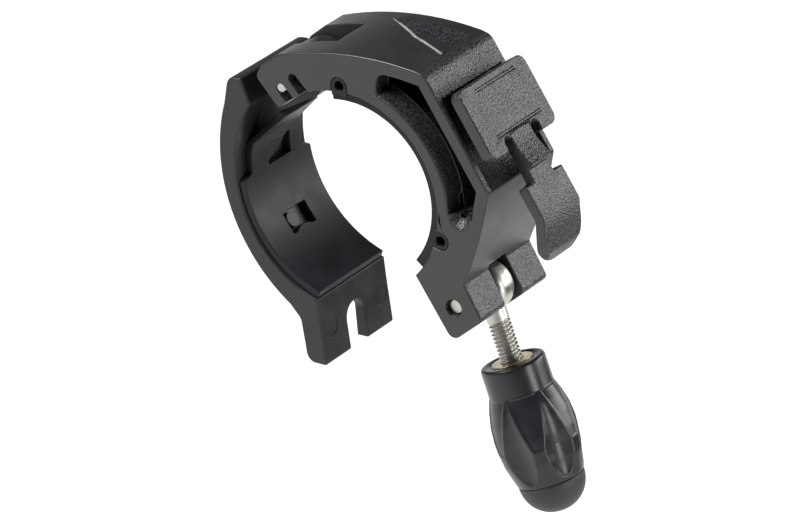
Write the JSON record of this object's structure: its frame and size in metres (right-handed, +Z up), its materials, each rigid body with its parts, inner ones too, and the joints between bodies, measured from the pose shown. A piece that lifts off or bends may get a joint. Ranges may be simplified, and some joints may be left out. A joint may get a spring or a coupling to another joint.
{
  "type": "bicycle light mount",
  "caption": "Hinged handlebar clamp for a bicycle light: an arm and a rigid body lined with rubber, closed by a swinging eyebolt with a long knob, with a sprung sliding cleat",
  "frame": {"origin": "Centre of the handlebar bore on the bar's axis, midway between the two side faces", "axes": "+Y runs along the handlebar, +Z points up, and +X points towards the cleat that takes the light"},
  "size_m": [0.0654, 0.0204, 0.0787],
  "materials": {
    "body_nylon": "satin black glass-filled nylon, finely textured on the outer faces",
    "liner_rubber": "matte black rubber",
    "steel": "bright nickel-plated steel",
    "brass": "turned brass",
    "knob_plastic": "half-gloss black plastic with finely lined flutes",
    "cap_plastic": "matte black soft plastic"
  },
  "bodies": {
    "body": {"main_body": "body_nylon", "body_liner": "liner_rubber", "bolt_pin": "steel"},
    "arm": {"clamp_arm": "body_nylon", "arm_liner": "liner_rubber", "hinge_pin": "steel"},
    "bolt": {"eyebolt": "steel"},
    "knob_core": {"knob_insert": "brass"},
    "knob": {"knob_grip": "knob_plastic", "knob_cap": "cap_plastic"},
    "lever": {"release_lever": "body_nylon"}
  },
  "joints": [
    {"name": "arm_hinge", "type": "hinge", "parent": "body", "child": "arm", "pos_m": [-0.0129, 0, 0.0157], "axis": [0, 1, 0], "range_deg": [-13.5, 115]},
    {"name": "bolt_swing", "type": "hinge", "parent": "body", "child": "bolt", "pos_m": [0.02115, 0, -0.01545], "axis": [0, 1, 0], "range_deg": [-78, 46]},
    {"name": "knob_slide", "type": "slide", "parent": "bolt", "child": "knob_core", "axis": [0.3746, 0, -0.9272], "range_m": [-0.005, 0.008]},
    {"name": "knob_turn", "type": "hinge", "parent": "knob_core", "child": "knob", "pos_m": [0.02115, 0, -0.01545], "axis": [0.3746, 0, -0.9272], "range_deg": [-2571, 4114]},
    {"name": "release_press", "type": "hinge", "parent": "body", "child": "lever", "pos_m": [0.02648, 0, 0.014], "axis": [0, 1, 0], "range_deg": [0, 12], "stiffness_Nm_per_rad": 0.2}
  ],
  "couplings": [
    {"joint": "knob_slide", "follows": "knob_turn", "m_per_rad": 0.00011141}
  ]
}
